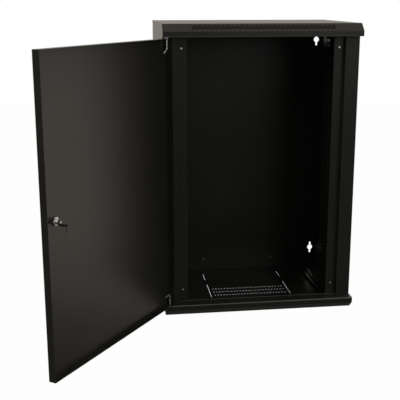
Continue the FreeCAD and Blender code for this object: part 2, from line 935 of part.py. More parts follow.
for side, side_name in ((1, "right"), (-1, "left")):
    spin_group(
        f"rail_bolts_{side_name}",
        [
            (
                (f"{side} * {channel_x}", rail_bolt_y, f"{up} * {rail_foot_seat}"),
                (0, 0, up),
            )
            for up in both
        ],
        "screw_radius",
        "screw_head_radius",
        "screw_head_height",
        "rail_bolt_length",
    )
    for up, level_name in ((1, "top"), (-1, "bottom")):
        label = f"rail_slide_nut_{level_name}_{side_name}"
        nut = new_body(label)
        nut_plan = new_sketch(nut, f"{label}_plan", "XY_Plane", f"{up} * ({nut_seat} + 1.5)")
        draw_box(
            nut_plan,
            f"{side} * {channel_x} - 9",
            f"{rail_bolt_y} - 9",
            f"{side} * {channel_x} + 9",
            f"{rail_bolt_y} + 9",
        )
        draw_circle(
            nut_plan,
            f"{side} * {channel_x}",
            rail_bolt_y,
            "screw_radius + screw_clearance / 2",
        )
        pad(nut, f"{label}_plate", nut_plan, "3", both_ways=True)

# ---------------------------------------------------------------- door

door_bodies = []
door_left = "(door_inset - cabinet_width / 2)"
door_right = "(cabinet_width / 2 - door_inset)"
door_half_high = f"({half_high} - {ledge_drop} - door_gap)"
door_front = front
door_back = f"({front} + door_thickness)"


def door_body(label):
    body = new_body(label)
    door_bodies.append(body)
    return body


door = door_body("door_panel")
door_plan = new_sketch(door, "door_outline", "XZ_Plane", f"-({door_front})")
draw_box(door_plan, door_left, f"-{door_half_high}", door_right, door_half_high)
pad(door, "door_block", door_plan, "door_thickness", backward=True)
door_inside = new_sketch(door, "door_inside", "XZ_Plane", f"-({door_back})")
draw_box(
    door_inside,
    f"{door_left} + skin_gauge",
    f"skin_gauge - {door_half_high}",
    f"{door_right} - skin_gauge",
    f"{door_half_high} - skin_gauge",
)
pocket(door, "door_hollow", door_inside, "door_thickness - skin_gauge", backward=True)
round_bends(
    door,
    "door_long_bends",
    2,
    [(door_left, door_front), (door_right, door_front)],
    "bend_inside",
)
door_pins = new_sketch(door, "door_pin_holes", "XY_Plane")
draw_circle(door_pins, f"-{hinge_x}", hinge_y, "pin_radius + pin_clearance")
pocket(door, "door_pin_bores", door_pins, "cabinet_height", both_ways=True)
lock_x = f"({upright_inside} - lock_from_step)"
lock_hole = new_sketch(door, "door_lock_hole", "XZ_Plane", f"-({door_front})")
draw_circle(lock_hole, lock_x, "lock_height", "barrel_radius + pin_clearance")
pocket(door, "door_lock_bore", lock_hole, "4 * skin_gauge", both_ways=True)

# Guide brackets hold the inner ends of the hinge pins.
door_edge = f"({door_left} + skin_gauge + fit_gap)"


def build_guide(label, up):
    body = door_body(label)
    level = f"{up} * ({door_half_high} - pin_inside)"
    tab = new_sketch(body, f"{label}_tab", "YZ_Plane", door_edge)
    draw_box(
        tab,
        f"{door_front} + skin_gauge + fit_gap",
        f"{level} - {up} * 8",
        f"{hinge_y} + pin_radius + 2.5",
        f"{level} + {up} * 18",
    )
    pad(body, f"{label}_wall", tab, "frame_gauge")
    shelf = new_sketch(body, f"{label}_shelf", "XY_Plane", level)
    draw_box(
        shelf,
        f"{door_edge} + frame_gauge / 2",
        f"{door_front} + skin_gauge + fit_gap",
        f"{door_edge} + 16",
        f"{hinge_y} + pin_radius + 2.5",
    )
    draw_circle(shelf, f"-{hinge_x}", hinge_y, "pin_radius + pin_clearance")
    pad(body, f"{label}_plate", shelf, "frame_gauge", both_ways=True)
    return body


build_guide("hinge_guide_top", 1)
build_guide("hinge_guide_bottom", -1)

door_parts = []


def place_part(item, base, rotation=None):
    item.Placement = FreeCAD.Placement(
        FreeCAD.Vector(*[value(part) for part in base]),
        rotation or FreeCAD.Rotation(),
    )


def build_pin(label, up, rod_end, lean):
    # A straight rod, one round bend and a finger leg along the door.
    pin = door_body(label)
    x = f"-{hinge_x}"
    top = f"{up} * ({half_high} - {ledge_drop} + frame_gauge + pin_reach)"
    bend_start = f"{up} * {rod_end}"
    centre = (f"{x} + pin_bend_radius", bend_start)
    swing = f"({90 - lean} deg)"
    bend_end = (
        f"{centre[0]} - pin_bend_radius * cos({swing})",
        f"{bend_start} - {up} * pin_bend_radius * sin({swing})",
    )
    tip = (
        f"{bend_end[0]} + pin_leg_length * sin({swing})",
        f"{bend_end[1]} - {up} * pin_leg_length * cos({swing})",
    )
    path = new_sketch(pin, f"{label}_path", "XZ_Plane", f"-({hinge_y})")
    spots = [
        FreeCAD.Vector(value(u), value(v), 0)
        for u, v in ((x, top), (x, bend_start), bend_end, tip)
    ]
    middle_turn = math.radians((90 - lean) / 2)
    radius = value("pin_bend_radius")
    middle = FreeCAD.Vector(
        value(centre[0]) - radius * math.cos(middle_turn),
        value(bend_start) - up * radius * math.sin(middle_turn),
        0,
    )
    path.addGeometry(Part.LineSegment(spots[0], spots[1]), False)
    path.addGeometry(Part.Arc(spots[1], middle, spots[2]), False)
    path.addGeometry(Part.LineSegment(spots[2], spots[3]), False)
    profile = new_sketch(pin, f"{label}_profile", "XY_Plane", top)
    draw_circle(profile, x, hinge_y, "pin_radius")
    sweep = pin.newObject("PartDesign::AdditivePipe", f"{label}_sweep")
    sweep.Profile = profile
    sweep.Spine = (path, ["Edge1", "Edge2", "Edge3"])
    doc.recompute()
    return pin


build_pin("hinge_pin_top", 1, f"({door_half_high} - pin_inside - 3)", 32)
build_pin("hinge_pin_bottom", -1, f"({door_half_high} - pin_inside - 3)", -6)

# Thin washers carry the door between the two ledges.
for up, level_name in ((1, "top"), (-1, "bottom")):
    label = f"hinge_washer_{level_name}"
    washer = door_body(label)
    low = f"{up} * ({door_half_high} + door_gap / 2)"
    ring = new_sketch(washer, f"{label}_ring", "XY_Plane", low)
    draw_circle(ring, f"-{hinge_x}", hinge_y, "2 * pin_radius")
    draw_circle(ring, f"-{hinge_x}", hinge_y, "pin_radius + pin_clearance")
    pad(washer, f"{label}_disc", ring, "door_gap - 2 * fit_gap", both_ways=True)

# ---------------------------------------------------------------- lock


def turned(body, name, steps, bore=None):
    # Round stages along the lock axis as (radius, from, to), from the door face.
    for index, (radius, start, end) in enumerate(steps):
        ring = new_sketch(
            body, f"{name}_ring_{index}", "XZ_Plane", f"-({door_front} + {start})"
        )
        draw_circle(ring, lock_x, "lock_height", radius)
        if bore:
            draw_circle(ring, lock_x, "lock_height", bore)
        pad(body, f"{name}_stage_{index}", ring, f"({end}) - ({start})", backward=True)


lock = door_body("lock_body")
turned(
    lock,
    "lock",
    [
        ("lock_head_radius", "-lock_head_proud", "-seat_gap"),
        ("barrel_radius", "-1", "barrel_depth"),
    ],
    "plug_radius + pin_clearance",
)
nut = door_body("lock_nut")
nut_plan = new_sketch(nut, "nut_plan", "XZ_Plane", f"-({door_front} + skin_gauge + seat_gap)")
draw_hexagon(nut_plan, lock_x, "lock_height", "nut_across_flats / cos(30 deg)")
draw_circle(nut_plan, lock_x, "lock_height", "barrel_radius + pin_clearance")
pad(nut, "nut_block", nut_plan, "nut_thickness", backward=True)

plug = door_body("lock_plug")
turned(
    plug,
    "plug",
    [("plug_radius", "0.4 - lock_head_proud", "plug_depth")],
)
plug_bore = new_sketch(plug, "plug_bore", "XZ_Plane", f"-({door_front} + plug_depth)")
draw_circle(plug_bore, lock_x, "lock_height", "screw_radius + screw_clearance")
pocket(plug, "plug_screw_hole", plug_bore, "plug_depth - 6", backward=True)
key_face = f"-({door_front} + 0.4 - lock_head_proud)"
key = new_sketch(plug, "key_outline", "XZ_Plane", key_face)
draw_box(
    key,
    f"{lock_x} - key_slot_width / 2",
    "lock_height - key_slot_height / 2",
    f"{lock_x} + key_slot_width / 2",
    "lock_height + key_slot_height / 2",
)
pocket(plug, "key_slot", key, "key_slot_depth")

cam = door_body("lock_cam")
cam_near = f"({door_front} + plug_depth + seat_gap)"
cam_bend = "lock_height - cam_head_radius + cam_gauge"
cam_side = new_sketch(cam, "cam_side", "YZ_Plane", lock_x)
draw_loop(
    cam_side,
    [
        (cam_near, "lock_height"),
        (cam_near, "lock_height - cam_head_radius"),
        (f"{cam_near} + cam_crank", "lock_height - cam_head_radius"),
        (f"{cam_near} + cam_crank", "lock_height - cam_reach"),
        (f"{cam_near} + cam_crank + cam_gauge", "lock_height - cam_reach"),
        (f"{cam_near} + cam_crank + cam_gauge", cam_bend),
        (f"{cam_near} + cam_gauge", cam_bend),
        (f"{cam_near} + cam_gauge", "lock_height"),
    ],
)
pad(cam, "cam_strip", cam_side, "cam_width", both_ways=True)
cam_round = new_sketch(cam, "cam_round", "XZ_Plane", f"-({cam_near})")
draw_circle(cam_round, lock_x, "lock_height", "cam_head_radius")
pad(cam, "cam_head", cam_round, "cam_gauge", backward=True)
cam_hole = new_sketch(cam, "cam_hole", "XZ_Plane", f"-({cam_near})")
draw_circle(cam_hole, lock_x, "lock_height", "screw_radius + screw_clearance")
pocket(cam, "cam_bore", cam_hole, "2 * cam_gauge + 1", both_ways=True)

cam_screw = spin_group(
    "lock_cam_screw",
    [((lock_x, f"{cam_near} + cam_gauge", "lock_height"), (0, -1, 0))],
    "screw_radius",
    "screw_head_radius",
    "screw_head_height",
    "9",
)
door_parts.append(cam_screw)

for item in door_bodies + door_parts:
    item.Placement = hinge_turn()
doc.recompute()

# ---------------------------------------------------------------- checks, files

for item in doc.Objects:
    if "Invalid" in item.State or "Error" in item.State:
        raise RuntimeError(f"{item.Name} did not build")
for item in solids:
    if item.Shape.isNull() or not item.Shape.isValid():
        raise RuntimeError(f"{item.Label} has no sound shape")
os.makedirs("parts", exist_ok=True)
for item in solids:
    item.Shape.exportStep(f"parts/{item.Label}.step")
    box = item.Shape.BoundBox
    print(
        item.Label,
        len(item.Shape.Solids),
        round(item.Shape.Volume, 1),
        [round(n, 1) for n in (box.XMin, box.XMax, box.YMin, box.YMax, box.ZMin, box.ZMax)],
    )
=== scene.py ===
import bpy
import bmesh
import math
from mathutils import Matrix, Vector
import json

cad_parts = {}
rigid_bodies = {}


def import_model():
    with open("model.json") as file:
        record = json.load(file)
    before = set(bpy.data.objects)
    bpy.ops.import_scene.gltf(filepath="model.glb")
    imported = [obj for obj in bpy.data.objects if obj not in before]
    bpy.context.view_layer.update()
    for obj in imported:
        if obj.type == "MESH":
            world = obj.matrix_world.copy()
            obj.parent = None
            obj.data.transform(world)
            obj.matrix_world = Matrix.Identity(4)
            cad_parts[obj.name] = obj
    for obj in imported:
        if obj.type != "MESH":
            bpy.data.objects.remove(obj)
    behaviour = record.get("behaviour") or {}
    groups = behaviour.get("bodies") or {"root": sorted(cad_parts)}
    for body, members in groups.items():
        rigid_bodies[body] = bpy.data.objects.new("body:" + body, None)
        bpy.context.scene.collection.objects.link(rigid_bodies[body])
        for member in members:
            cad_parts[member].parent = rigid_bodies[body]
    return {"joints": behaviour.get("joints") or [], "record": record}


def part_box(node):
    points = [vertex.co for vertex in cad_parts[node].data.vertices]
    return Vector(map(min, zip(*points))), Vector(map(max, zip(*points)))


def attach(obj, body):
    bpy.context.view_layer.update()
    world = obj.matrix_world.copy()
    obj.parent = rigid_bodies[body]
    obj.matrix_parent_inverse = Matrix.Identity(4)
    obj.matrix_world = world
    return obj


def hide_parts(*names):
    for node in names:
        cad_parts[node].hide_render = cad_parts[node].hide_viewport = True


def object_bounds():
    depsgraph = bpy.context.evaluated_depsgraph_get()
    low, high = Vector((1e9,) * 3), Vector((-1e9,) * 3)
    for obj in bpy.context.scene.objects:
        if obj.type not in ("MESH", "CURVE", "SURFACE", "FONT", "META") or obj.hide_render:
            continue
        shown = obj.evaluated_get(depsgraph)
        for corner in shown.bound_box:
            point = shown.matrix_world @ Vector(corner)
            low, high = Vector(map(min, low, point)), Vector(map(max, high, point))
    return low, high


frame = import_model()
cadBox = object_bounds()
bpy.context.scene.view_settings.view_transform = "Standard"
print("frame loaded")

# camera: eye height just above the roof, turned a little to the right
view = {"place": (-0.479724, -2.753041, 0.515543), "tilt": 76.05, "turn": -7.69,
        "lens": 70.954, "shiftX": -0.01973, "shiftY": -0.00918, "sensor": 36}
camera = bpy.data.cameras.new("camera")
camera.lens = view["lens"]
camera.sensor_width = view["sensor"]
camera.shift_x = view["shiftX"]
camera.shift_y = view["shiftY"]
cameraObject = bpy.data.objects.new("camera", camera)
cameraObject.location = view["place"]
cameraObject.rotation_euler = (math.radians(view["tilt"]), 0, math.radians(view["turn"]))
bpy.context.scene.collection.objects.link(cameraObject)
bpy.context.scene.camera = cameraObject


# small helpers for node trees
def plug(tree, socket, source):
    if isinstance(source, (int, float, tuple)):
        socket.default_value = source
    else:
        tree.links.new(source, socket)


def calc(tree, operation, *sources):
    node = tree.nodes.new("ShaderNodeMath")
    node.operation = operation
    for socket, source in zip(node.inputs, sources):
        plug(tree, socket, source)
    return node.outputs[0]


def newMaterial(name):
    material = bpy.data.materials.new(name)
    material.use_nodes = True
    tree = material.node_tree
    tree.nodes.clear()
    output = tree.nodes.new("ShaderNodeOutputMaterial")
    shader = tree.nodes.new("ShaderNodeBsdfPrincipled")
    tree.links.new(shader.outputs["BSDF"], output.inputs["Surface"])
    return material, tree, shader


def addNoise(tree, scale, detail, rough=0.5):
    place = tree.nodes.new("ShaderNodeTexCoord")
    noise = tree.nodes.new("ShaderNodeTexNoise")
    noise.inputs["Scale"].default_value = scale
    noise.inputs["Detail"].default_value = detail
    noise.inputs["Roughness"].default_value = rough
    tree.links.new(place.outputs["Object"], noise.inputs["Vector"])
    return noise.outputs["Fac"]


def addRamp(tree, source, first, last):
    # each stop is (position, colour)
    ramp = tree.nodes.new("ShaderNodeValToRGB")
    for stop, (place, colour) in zip(ramp.color_ramp.elements, (first, last)):
        stop.position = place
        stop.color = (*colour, 1)
    tree.links.new(source, ramp.inputs["Fac"])
    return ramp.outputs["Color"]


def addRange(tree, source, low, high):
    spread = tree.nodes.new("ShaderNodeMapRange")
    spread.inputs["To Min"].default_value = low
    spread.inputs["To Max"].default_value = high
    tree.links.new(source, spread.inputs["Value"])
    return spread.outputs["Result"]


def addBump(tree, shader, source, strength, distance):
    bump = tree.nodes.new("ShaderNodeBump")
    bump.inputs["Strength"].default_value = strength
    bump.inputs["Distance"].default_value = distance
    tree.links.new(source, bump.inputs["Height"])
    tree.links.new(bump.outputs["Normal"], shader.inputs["Normal"])


# black powder coat: fine orange-peel grain over a faint cloudy tone, with a painted highlight
# along some folds
coat = {"dark": (0.0195, 0.0192, 0.0165), "light": (0.0245, 0.0238, 0.0205), "cloud": 9,
        "grain": 1400, "roughLow": 0.27, "roughHigh": 0.36, "gloss": 0.33,
        "bump": 0.22, "bumpDepth": 0.0002,
        # colour of the painted fold highlight, how far it reaches from the fold, and how
        # patchy it is
        "foldHighlight": (0.15, 0.15, 0.145), "foldReach": 0.0034, "foldCore": 0.5,
        "patches": 60, "patchLow": 0.55, "patchHigh": 1.15}


def foldHighlightMask(tree, fold):
    # 1 on a fold that runs along x at (y, plus or minus z), falling to 0 a little way off;
    # the third value stretches the painted highlight strip over the flat beside it
    y, z, stretch = fold
    place = tree.nodes.new("ShaderNodeTexCoord")
    split = tree.nodes.new("ShaderNodeSeparateXYZ")
    tree.links.new(place.outputs["Object"], split.inputs[0])
    aside = calc(tree, "ABSOLUTE", calc(tree, "SUBTRACT", split.outputs[1], y))
    level = calc(tree, "SUBTRACT", calc(tree, "ABSOLUTE", split.outputs[2]), z)
    away = calc(tree, "MAXIMUM", calc(tree, "DIVIDE", aside, stretch),
                calc(tree, "ABSOLUTE", level))
    near = tree.nodes.new("ShaderNodeMapRange")
    near.inputs["From Min"].default_value = coat["foldReach"]
    near.inputs["From Max"].default_value = coat["foldReach"] * coat["foldCore"]
    tree.links.new(away, near.inputs["Value"])
    return near.outputs["Result"]


def powderCoat(name="blackPowderCoat", folds=()):
    material, tree, shader = newMaterial(name)
    colour = addRamp(tree, addNoise(tree, coat["cloud"], 3),
                     (0.3, coat["dark"]), (0.7, coat["light"]))
    if folds:
        # painted highlight: a lighter colour along the folds, standing in for light caught on
        # the bends
        masks = [foldHighlightMask(tree, fold) for fold in folds]
        highlightShare = masks[0]
        for mask in masks[1:]:
            highlightShare = calc(tree, "MAXIMUM", highlightShare, mask)
        patchy = addRange(tree, addNoise(tree, coat["patches"], 3),
                          coat["patchLow"], coat["patchHigh"])
        blend = tree.nodes.new("ShaderNodeMix")
        blend.data_type = "RGBA"
        tree.links.new(calc(tree, "MULTIPLY", highlightShare, patchy), blend.inputs["Factor"])
        tree.links.new(colour, blend.inputs["A"])
        blend.inputs["B"].default_value = (*coat["foldHighlight"], 1)
        colour = blend.outputs["Result"]
    tree.links.new(colour, shader.inputs["Base Color"])
    grain = addNoise(tree, coat["grain"], 2, 0.6)
    gloss = addRange(tree, grain, coat["roughLow"], coat["roughHigh"])
    tree.links.new(gloss, shader.inputs["Roughness"])
    shader.inputs["Specular IOR Level"].default_value = coat["gloss"]
    addBump(tree, shader, grain, coat["bump"], coat["bumpDepth"])
    return material


# zinc plate: bright bluish steel with faint warm passivation clouds and fine scuffs
zinc = {"cool": (0.78, 0.80, 0.82), "warm": (0.83, 0.81, 0.76), "cloud": 160, "scuff": 900,
        "roughLow": 0.3, "roughHigh": 0.5, "bump": 0.15, "bumpDepth": 0.00008}


def zincPlate():
    material, tree, shader = newMaterial("zincPlate")
    tone = addRamp(tree, addNoise(tree, zinc["cloud"], 4),
                   (0.35, zinc["cool"]), (0.65, zinc["warm"]))
    tree.links.new(tone, shader.inputs["Base Color"])
    shader.inputs["Metallic"].default_value = 1
    scuff = addNoise(tree, zinc["scuff"], 3, 0.7)
    gloss = addRange(tree, scuff, zinc["roughLow"], zinc["roughHigh"])
    tree.links.new(gloss, shader.inputs["Roughness"])
    addBump(tree, shader, scuff, zinc["bump"], zinc["bumpDepth"])
    return material


# satin chrome of the lock
chrome = {"cool": (0.60, 0.60, 0.61), "warm": (0.70, 0.69, 0.68), "cloud": 220,
          "polish": 1500, "roughLow": 0.12, "roughHigh": 0.25}


def lockChrome():
    material, tree, shader = newMaterial("lockChrome")
    tone = addRamp(tree, addNoise(tree, chrome["cloud"], 3),
                   (0.3, chrome["cool"]), (0.7, chrome["warm"]))
    tree.links.new(tone, shader.inputs["Base Color"])
    shader.inputs["Metallic"].default_value = 1
    gloss = addRange(tree, addNoise(tree, chrome["polish"], 2),
                     chrome["roughLow"], chrome["roughHigh"])
    tree.links.new(gloss, shader.inputs["Roughness"])
    return material


finishes = {"black_powder_coat": powderCoat(), "zinc_plate": zincPlate(),
            "lock_chrome": lockChrome()}
for part in frame["record"]["subparts"]:
    node = bpy.data.objects[part["node"]]
    for slot in node.material_slots:
        slot.material = finishes[part["material_slot"]]

# trays and side panels: each is a copy of its CAD sheet with finer vents and slots and its
# folds closed

# vents of the floor plate, in rows across it
vents = {"columns": 25, "rows": 4, "pitchX": 0.01, "pitchY": 0.029, "firstRow": -0.277,
         "reachX": 0.0019, "reachY": 0.0056, "across": 0.7, "along": 0.76}
# the four long slots round the cable entry plate
knockout = {"side": 0.135, "sideEnds": (-0.295, -0.063), "edges": (-0.294, -0.064),
            "edgeEnds": 0.1262, "reach": 0.0012, "across": 0.7}
# hexagonal holes of the roof slope, two to a column; rise and run are the slope's own
slope = {"columns": 62, "pitch": 0.008, "middle": -0.4378, "rise": 22.1, "run": 24.4,
         "front": -0.4495, "rear": -0.4258, "above": 0.4,
         "firstRow": -0.75, "stagger": 0.5, "reachX": 0.0034, "reachY": 0.0023, "widen": 1.13}
# the side panel's rear flange meets the edge of the back panel
flange = {"edge": 0.264, "meets": 0.26372, "behind": -0.002, "reach": 0.0001}
# the strip of the rear band that turns up out of the plate beside each side panel
foldRoot = {"inner": 0.2638, "outer": 0.2952, "front": -0.0027, "rear": -0.0013,
            "low": 0.4466, "high": 0.4491}
# folds of the tray ledges that get a painted highlight: (y, z, stretch)
highlitFolds = [(-0.401, 0.4122, 3), (-0.45, 0.4122, 1)]
# corners closer than this are one corner
weld = {"sheet": 0.000002, "lathe": 0.000005, "head": 0.00001, "barrel": 0.000001}
columnPitch = slope["pitch"] * math.cos(math.radians(30))
columnMiddle = (slope["columns"] - 1) / 2
flatten = math.cos(math.atan(slope["rise"] / slope["run"]))
ventSpots = [((column - (vents["columns"] - 1) / 2) * vents["pitchX"],
              vents["firstRow"] + row * vents["pitchY"])
             for row in range(vents["rows"]) for column in range(vents["columns"])]
highlitFoldCoat = powderCoat("blackCoatPaintedFoldHighlights", highlitFolds)


def narrowVent(spot):
    for x, y in ventSpots:
        if abs(spot.x - x) < vents["reachX"] and abs(spot.y - y) < vents["reachY"]:
            spot.x = x + (spot.x - x) * vents["across"]
            spot.y = y + (spot.y - y) * vents["along"]
            return


def narrowKnockout(spot):
    side = math.copysign(knockout["side"], spot.x)
    front, rear = knockout["sideEnds"]
    if abs(spot.x - side) < knockout["reach"] and front < spot.y < rear:
        spot.x = side + (spot.x - side) * knockout["across"]
    for edge in knockout["edges"]:
        if abs(spot.y - edge) < knockout["reach"] and abs(spot.x) < knockout["edgeEnds"]:
            spot.y = edge + (spot.y - edge) * knockout["across"]


def widenSlopeHole(spot):
    # each corner moves along the slope's own plane
    if not (slope["front"] < spot.y < slope["rear"] and spot.z > slope["above"]):
        return
    column = round(spot.x / columnPitch + columnMiddle)
    if not 0 <= column < slope["columns"]:
        return
    x = (column - columnMiddle) * columnPitch
    for step in (0, 1):
        row = step + slope["firstRow"] + slope["stagger"] * (column % 2)
        y = slope["middle"] + row * slope["pitch"] * flatten
        if abs(spot.x - x) < slope["reachX"] and abs(spot.y - y) < slope["reachY"]:
            shift = (spot.y - y) * (slope["widen"] - 1)
            spot.x = x + (spot.x - x) * slope["widen"]
            spot.y += shift
            spot.z += shift * (slope["rise"] / slope["run"])
            return


def narrowFloor(spot):
    narrowKnockout(spot)
    narrowVent(spot)


def narrowRoof(spot):
    narrowKnockout(spot)
    widenSlopeHole(spot)


def closeFlange(spot):
    if spot.y > flange["behind"] and abs(abs(spot.x) - flange["edge"]) < flange["reach"]:
        spot.x = math.copysign(flange["meets"], spot.x)


def foldRoots(up):
    low, high = sorted((up * foldRoot["low"], up * foldRoot["high"]))
    boxes = []
    for side in (1, -1):
        left, right = sorted((side * foldRoot["inner"], side * foldRoot["outer"]))
        boxes.append(((left, foldRoot["front"], low), (right, foldRoot["rear"], high)))
    return boxes


def copySheet(name, node, reshape, finish, boxes=()):
    source = bpy.data.objects[node].data
    normals = [tuple(corner.vector) for corner in source.corner_normals]
    shape = bmesh.new()
    shape.from_mesh(source)
    bmesh.ops.remove_doubles(shape, verts=shape.verts, dist=weld["sheet"])
    for corner in shape.verts:
        reshape(corner.co)
    for low, high in boxes:
        made = bmesh.ops.create_cube(shape, size=1)["verts"]
        for corner in made:
            for axis in range(3):
                corner.co[axis] = low[axis] if corner.co[axis] < 0 else high[axis]
        shape.faces.ensure_lookup_table()
        shape.normal_update()
        for side in shape.faces[-6:]:
            normals += [tuple(side.normal)] * 4
    mesh = bpy.data.meshes.new(name)
    shape.to_mesh(mesh)
    shape.free()
    print(name, len(mesh.polygons), "faces,", len(mesh.loops), "corners,",
          len(normals), "normals")
    mesh.shade_smooth()
    mesh.normals_split_custom_set(normals)
    mesh.materials.append(finish)
    piece = bpy.data.objects.new(name, mesh)
    bpy.context.scene.collection.objects.link(piece)
    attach(piece, "cabinet")
    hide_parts(node)


plainCoat = finishes["black_powder_coat"]
# the trays carry the coat with painted highlights along their ledge folds
copySheet("floorSheet", "floor_panel", narrowFloor, highlitFoldCoat, foldRoots(-1))
copySheet("roofSheet", "roof_panel", narrowRoof, highlitFoldCoat, foldRoots(1))
copySheet("sideSheetRight", "side_panel_right", closeFlange, plainCoat)
copySheet("sideSheetLeft", "side_panel_left", closeFlange, plainCoat)
print("sheets copied")


# node tree helpers for repeating metal pieces
def newTree(name, inputs):
    tree = bpy.data.node_groups.new(name, "GeometryNodeTree")
    sockets = tree.interface
    sockets.new_socket("Geometry", in_out="INPUT", socket_type="NodeSocketGeometry")
    for label, start in inputs.items():
        socket = sockets.new_socket(label, in_out="INPUT", socket_type="NodeSocketFloat")
        socket.default_value = start
    sockets.new_socket("Finish", in_out="INPUT", socket_type="NodeSocketMaterial")
    sockets.new_socket("Geometry", in_out="OUTPUT", socket_type="NodeSocketGeometry")
    return tree, tree.nodes.new("NodeGroupInput"), tree.nodes.new("NodeGroupOutput")


def merged(tree, source, distance):
    node = tree.nodes.new("GeometryNodeMergeByDistance")
    node.inputs["Distance"].default_value = distance
    tree.links.new(source, node.inputs["Geometry"])
    return node.outputs[0]


def lathe(tree, radius, height, around, along):
    # wraps a grid round the z axis: radius and height are fields built on the grid's place
    grid = tree.nodes.new("GeometryNodeMeshGrid")
    grid.inputs["Size X"].default_value = 1
    grid.inputs["Size Y"].default_value = 1
    grid.inputs["Vertices X"].default_value = around + 1
    grid.inputs["Vertices Y"].default_value = along
    place = tree.nodes.new("GeometryNodeInputPosition")
    split = tree.nodes.new("ShaderNodeSeparateXYZ")
    tree.links.new(place.outputs[0], split.inputs[0])
    turn = calc(tree, "MULTIPLY", calc(tree, "ADD", split.outputs[0], 0.5), 2 * math.pi)
    share = calc(tree, "ADD", split.outputs[1], 0.5)
    r, z = radius(share, turn), height(share)
    joined = tree.nodes.new("ShaderNodeCombineXYZ")
    for axis, wave in enumerate(("COSINE", "SINE")):
        tree.links.new(calc(tree, "MULTIPLY", r, calc(tree, wave, turn)), joined.inputs[axis])
    tree.links.new(z, joined.inputs[2])
    move = tree.nodes.new("GeometryNodeSetPosition")
    tree.links.new(grid.outputs["Mesh"], move.inputs["Geometry"])
    tree.links.new(joined.outputs[0], move.inputs["Position"])
    return merged(tree, move.outputs[0], weld["lathe"])


def join(tree, *sources):
    node = tree.nodes.new("GeometryNodeJoinGeometry")
    for source in sources:
        tree.links.new(source, node.inputs[0])
    return node.outputs[0]


def cut(tree, operation, base, *tools):
    node = tree.nodes.new("GeometryNodeMeshBoolean")
    node.operation = operation
    node.solver = "MANIFOLD"
    first = "Mesh 1" if operation == "DIFFERENCE" else "Mesh 2"
    tree.links.new(base, node.inputs[first])
    for tool in tools:
        tree.links.new(tool, node.inputs["Mesh 2"])
    return node.outputs["Mesh"]


def raised(tree, source, level):
    node = tree.nodes.new("GeometryNodeTransform")
    tree.links.new(source, node.inputs["Geometry"])
    joined = tree.nodes.new("ShaderNodeCombineXYZ")
    plug(tree, joined.inputs[2], level)
    tree.links.new(joined.outputs[0], node.inputs["Translation"])
    return node.outputs[0]


def placeOnSeats(tree, enter, leave, piece, crease):
    # one copy on every seat, turned to its heading, then made real and finished
    heading = tree.nodes.new("GeometryNodeInputNamedAttribute")
    heading.data_type = "FLOAT_VECTOR"
    heading.inputs["Name"].default_value = "heading"
    aim = tree.nodes.new("FunctionNodeAlignRotationToVector")
    aim.axis = "Z"
    tree.links.new(heading.outputs[0], aim.inputs["Vector"])
    spots = tree.nodes.new("GeometryNodeInstanceOnPoints")
    tree.links.new(enter.outputs["Geometry"], spots.inputs["Points"])
    tree.links.new(piece, spots.inputs["Instance"])
    tree.links.new(aim.outputs[0], spots.inputs["Rotation"])
    real = tree.nodes.new("GeometryNodeRealizeInstances")
    tree.links.new(spots.outputs[0], real.inputs[0])
    finishPiece(tree, enter, leave, real.outputs[0], crease)


def finishPiece(tree, enter, leave, piece, crease):
    # smooth faces, with every edge that folds by more than crease kept sharp
    smooth = tree.nodes.new("GeometryNodeSetShadeSmooth")
    tree.links.new(piece, smooth.inputs["Geometry"])
    fold = tree.nodes.new("GeometryNodeInputMeshEdgeAngle")
    sharp = tree.nodes.new("GeometryNodeSetShadeSmooth")
    sharp.domain = "EDGE"
    tree.links.new(smooth.outputs[0], sharp.inputs["Geometry"])
    tree.links.new(calc(tree, "GREATER_THAN", fold.outputs[0], crease),
                   sharp.inputs["Selection"])
    sharp.inputs["Shade Smooth"].default_value = False
    plated = tree.nodes.new("GeometryNodeSetMaterial")
    tree.links.new(sharp.outputs[0], plated.inputs["Geometry"])
    tree.links.new(enter.outputs["Finish"], plated.inputs["Material"])
    tree.links.new(plated.outputs[0], leave.inputs[0])


def grow(name, base, tree, values, finish, body, node):
    # runs the tree once and keeps the plain mesh
    piece = bpy.data.objects.new(name, base)
    bpy.context.scene.collection.objects.link(piece)
    grower = piece.modifiers.new("grow", "NODES")
    grower.node_group = tree
    for item in tree.interface.items_tree:
        if item.in_out == "INPUT" and item.name in values:
            grower[item.identifier] = values[item.name]
        if item.in_out == "INPUT" and item.name == "Finish":
            grower[item.identifier] = finish
    bpy.context.view_layer.update()
    graph = bpy.context.evaluated_depsgraph_get()
    mesh = bpy.data.meshes.new_from_object(piece.evaluated_get(graph), depsgraph=graph)
    piece.modifiers.clear()
    piece.data = mesh
    mesh.name = name
    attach(piece, body)
    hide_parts(node)
    print(name, len(mesh.polygons), "faces")


def seatMesh(name, seats):
    mesh = bpy.data.meshes.new(name)
    mesh.from_pydata([tuple(place) for place, heading in seats], [], [])
    headings = mesh.attributes.new("heading", "FLOAT_VECTOR", "POINT")
    for index, (place, heading) in enumerate(seats):
        headings.data[index].vector = heading
    return mesh


def findSeats(node, heading, headHeight):
    # one seat for each separate solid of a CAD node, where its head meets its shank
    shape = bmesh.new()
    shape.from_mesh(bpy.data.objects[node].data)
    bmesh.ops.remove_doubles(shape, verts=shape.verts, dist=weld["sheet"])
    waiting, seats = set(shape.verts), []
    while waiting:
        island, edge = set(), [waiting.pop()]
        while edge:
            corner = edge.pop()
            island.add(corner)
            for link in corner.link_edges:
                other = link.other_vert(corner)
                if other in waiting:
                    waiting.discard(other)
                    edge.append(other)
        low = Vector([min(corner.co[axis] for corner in island) for axis in range(3)])
        high = Vector([max(corner.co[axis] for corner in island) for axis in range(3)])
        middle = (low + high) / 2
        aim = Vector(heading(middle)).normalized()
        start = min(corner.co.dot(aim) for corner in island)
        seats.append((middle + aim * (start + headHeight - middle.dot(aim)), aim))
    shape.free()
    return seats


